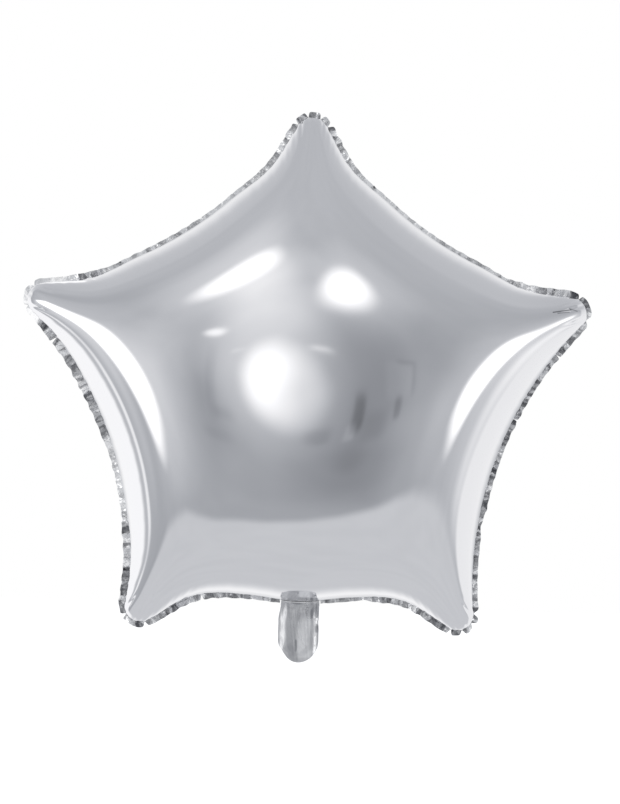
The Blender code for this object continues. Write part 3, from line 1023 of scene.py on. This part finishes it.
SHADES = [
    (11, -6, 0.20, 0.34, 0, 2.5, 0.75, -0.12),
    (8, -24, 0.30, 0.16, 0, 2.5, 0.80, -0.04),
    (-24, -4, 0.12, 0.20, 0, 2, 0.90, -0.05),
    (26, 16, 0.28, 0.22, 0, 2, 0.80, -0.06),
    (66, 35, 0.60, 0.40, 0, 2, 0.80, -0.04),
    (-73, 45, 0.24, 0.13, 0, 2, 0.90, -0.06),
    (8.0, -2.8, 0.024, 0.052, 0, 4, 0.40, -0.13),
    (20, -3, 0.022, 0.040, 0, 4, 0.40, -0.11),
    (1.6, -5.4, 0.030, 0.028, 0, 3, 0.50, -0.08),
    (13, -5.5, 0.065, 0.046, 0, 3, 0.60, -0.05),
    (22.4, 7.8, 0.055, 0.008, 0, 5, 0.40, -0.09),
    (25.3, 3.6, 0.011, 0.070, 0, 5, 0.40, -0.07),
    (8.6, -12, 0.060, 0.060, 0, 2, 0.80, -0.045),
    (-21, 3, 0.032, 0.130, 0, 4, 0.60, -0.045),
    (-17, -4.5, 0.060, 0.018, 0, 4, 0.60, -0.050),
    (-21, -9.5, 0.090, 0.020, 0, 3, 0.60, -0.030),
]
# Lights and darker parts behind the balloon, on the white sweep
BACK_LIGHTS = [
    (-160, 27, 0.36, 0.20, 0, 2, 0.95, 0.13),
    (160, 27, 0.36, 0.20, 0, 2, 0.95, 0.13),
    (178, -6, 0.48, 0.36, 4, 3.2, 0.60, -0.40),
    (180, -21, 0.42, 0.09, 3, 2.5, 0.80, 0.12),
    (172, 2, 0.12, 0.09, 40, 2, 0.70, 0.60),
    (-168, 34, 0.10, 0.06, 40, 2, 0.60, 0.40),
]
# Where the room's floor begins, in degrees below the horizon, at azimuths from the front
FLOOR_EDGE = [
    (-180, 38), (-95, 38), (-80, 34.5), (-70, 31.5), (-50, 31), (-40, 35), (-30, 39),
    (-10, 41), (0, 39.5), (10, 36), (20, 31.5), (30, 26.5), (40, 24), (180, 24),
]
FLOOR_TONE = 0.66
WALL_TONE, CEILING_TONE = 0.45, 0.56
SWEEP_TONE = 1.0
# How far back a direction points, from 0 to 1, where the sweep begins to show and where it is full
SWEEP_BEGINS, SWEEP_FULL = 0.08, 0.22
# A pale floor far below, which the foil doesn't mirror
FLOOR_DROP = 0.75
FLOOR_HALF_SIZE = 9.0


def floor_mask(tree, azimuth, height):
    """1 below the line where the room's floor begins."""
    ramp = node(tree, "ShaderNodeValToRGB", {0: remap(tree, azimuth, 0, 1, -math.pi, math.pi)})
    stops = ramp.color_ramp.elements
    while len(stops) < len(FLOOR_EDGE):
        stops.new(0.5)
    for stop, (degrees, drop) in zip(stops, FLOOR_EDGE):
        stop.position = (degrees + 180) / 360
        stop.color = (drop / 90, drop / 90, drop / 90, 1)
    line = maths(tree, "MULTIPLY", ramp.outputs["Color"], -math.pi / 2)
    below = maths(tree, "SUBTRACT", line, maths(tree, "ARCSINE", height))
    return soft_step(tree, below, -0.05, 0.05)


def blended(tree, mask, below, above):
    return node(tree, "ShaderNodeMix", {0: mask, 2: below, 3: above}).outputs[0]


def studio():
    """What the foil mirrors: a room in front, a white sweep behind. The camera sees plain white."""
    world = bpy.data.worlds.new("studio")
    bpy.context.scene.world = world
    world.use_nodes = True
    tree = world.node_tree
    for old in list(tree.nodes):
        tree.nodes.remove(old)
    direction = node(tree, "ShaderNodeTexCoord").outputs["Generated"]
    axes = node(tree, "ShaderNodeSeparateXYZ", {0: direction}).outputs
    forward = maths(tree, "MULTIPLY", axes["Y"], -1.0)
    azimuth = maths(tree, "ARCTAN2", axes["X"], forward)
    wall = remap(tree, axes["Z"], WALL_TONE, CEILING_TONE, 0.0, 0.85)
    light_group = studio_light_group()

    def with_lights(total, lights):
        for turn, elevation, width, height, tilt, square, softness, power in lights:
            ahead, across, up = light_axes(turn, elevation, tilt)
            sides = {"ahead": ahead, "across": across / width, "up": up / height}
            edge = {"square": square, "softness": softness, "power": power}
            made = use_group(tree, light_group, direction=direction, **sides, **edge)
            total = maths(tree, "ADD", total, made["Light"])
        return total

    def background(total):
        """The darker the room, the cooler its light."""
        colour = tint(tree, remap(tree, total, 0, 1, 0.32, 0.95), (0.908, 0.940, 1.0), (1, 1, 1))
        return node(tree, "ShaderNodeBackground", {"Color": colour, "Strength": total}).outputs[0]

    floor = floor_mask(tree, azimuth, axes["Z"])
    front = blended(tree, floor, with_lights(wall, LIGHTS + SHADES), FLOOR_TONE)
    inputs = {"Vector": direction, "Scale": 7.0, "Detail": 1.0}
    mottle = node(tree, "ShaderNodeTexNoise", inputs).outputs["Fac"]
    front = maths(tree, "MULTIPLY", front, remap(tree, mottle, 0.985, 1.015, 0.35, 0.65))
    # The white sweep behind the balloon, fainter towards its top, on the floor and to the right,
    # where its lower part also begins further back
    dip = maths(tree, "MINIMUM", maths(tree, "ADD", axes["Z"], 0.2), 0.0)
    dip = maths(tree, "MULTIPLY", dip, maths(tree, "ADD", maths(tree, "MULTIPLY", axes["X"], 0.38), 0.38))
    leaning = maths(tree, "ADD", axes["Y"], maths(tree, "MULTIPLY", axes["X"], 0.12))
    behind = soft_step(tree, maths(tree, "ADD", leaning, dip), SWEEP_BEGINS, SWEEP_FULL)
    upper = soft_step(tree, axes["Z"], 1.0, -0.1)
    lower = soft_step(tree, axes["Z"], -0.90, -0.60)
    tone = maths(tree, "SUBTRACT", SWEEP_TONE, maths(tree, "MULTIPLY", axes["X"], 0.075))
    back = blended(tree, maths(tree, "MULTIPLY", upper, lower), blended(tree, floor, wall, FLOOR_TONE), tone)
    back = with_lights(back, BACK_LIGHTS)
    room = node(tree, "ShaderNodeMixShader", {0: behind, 1: background(front), 2: background(back)})
    plain = node(tree, "ShaderNodeBackground", {"Color": (1, 1, 1, 1), "Strength": 1.0})
    seen = node(tree, "ShaderNodeLightPath").outputs["Is Camera Ray"]
    mixed = node(tree, "ShaderNodeMixShader", {0: seen, 1: room.outputs[0], 2: plain.outputs[0]})
    node(tree, "ShaderNodeOutputWorld", {"Surface": mixed.outputs[0]})


def floor_plane():
    form = bmesh.new()
    bmesh.ops.create_grid(form, x_segments=1, y_segments=1, size=FLOOR_HALF_SIZE)
    bmesh.ops.translate(form, verts=form.verts, vec=(0, 0, -FLOOR_DROP))
    mesh = bpy.data.meshes.new("floor")
    form.to_mesh(mesh)
    form.free()
    floor = bpy.data.objects.new("floor", mesh)
    bpy.context.scene.collection.objects.link(floor)
    material, _, shader = new_material("pale_floor")
    shader.inputs["Base Color"].default_value = (0.9, 0.9, 0.9, 1)
    shader.inputs["Roughness"].default_value = 0.9
    shader.inputs["Emission Color"].default_value = (1, 1, 1, 1)
    shader.inputs["Emission Strength"].default_value = 0.6
    mesh.materials.append(material)
    floor.visible_glossy = False


def camera():
    """Square to the front, with a long lens that makes a pixel METRES_PER_PIXEL wide at the star."""
    data = bpy.data.cameras.new("camera")
    data.sensor_fit = "VERTICAL"
    data.sensor_height = 36.0
    data.lens = data.sensor_height * CAMERA_DISTANCE / (PICTURE_HEIGHT * METRES_PER_PIXEL)
    across = (PICTURE_WIDTH / 2 - STAR_PIXEL[0]) * METRES_PER_PIXEL
    down = (PICTURE_HEIGHT / 2 - STAR_PIXEL[1]) * METRES_PER_PIXEL
    cosine, sine = math.cos(ROLL), math.sin(ROLL)
    place = (cosine * across + sine * down, -CAMERA_DISTANCE, sine * across - cosine * down)
    turn = Matrix(((cosine, -sine, 0, 0), (0, 0, -1, 0), (sine, cosine, 0, 0), (0, 0, 0, 1)))
    obj = bpy.data.objects.new("camera", data)
    bpy.context.scene.collection.objects.link(obj)
    obj.matrix_world = Matrix.Translation(place) @ turn
    bpy.context.scene.camera = obj


def main():
    grain, crinkle = grain_group(), crinkle_group()
    foil = mirror_foil(grain, crease_shade_group())
    for name, side, node_name, seed in (
        ("front_foil", -1, "front_panel", 3),
        ("back_foil", 1, "back_panel", 5),
    ):
        sheet = foil_sheet(name, side, foil, seed)
        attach(sheet, "envelope")
        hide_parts(node_name)
    weld = rim(welded_foil(crinkle))
    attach(weld, "envelope")
    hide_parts("seam_rim")
    tail(tail_foil(grain, crinkle))
    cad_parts["valve_film"].data.materials.clear()
    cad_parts["valve_film"].data.materials.append(valve_film(grain))
    floor_plane()
    studio()
    camera()
    bpy.context.scene.view_settings.view_transform = "Standard"


main()
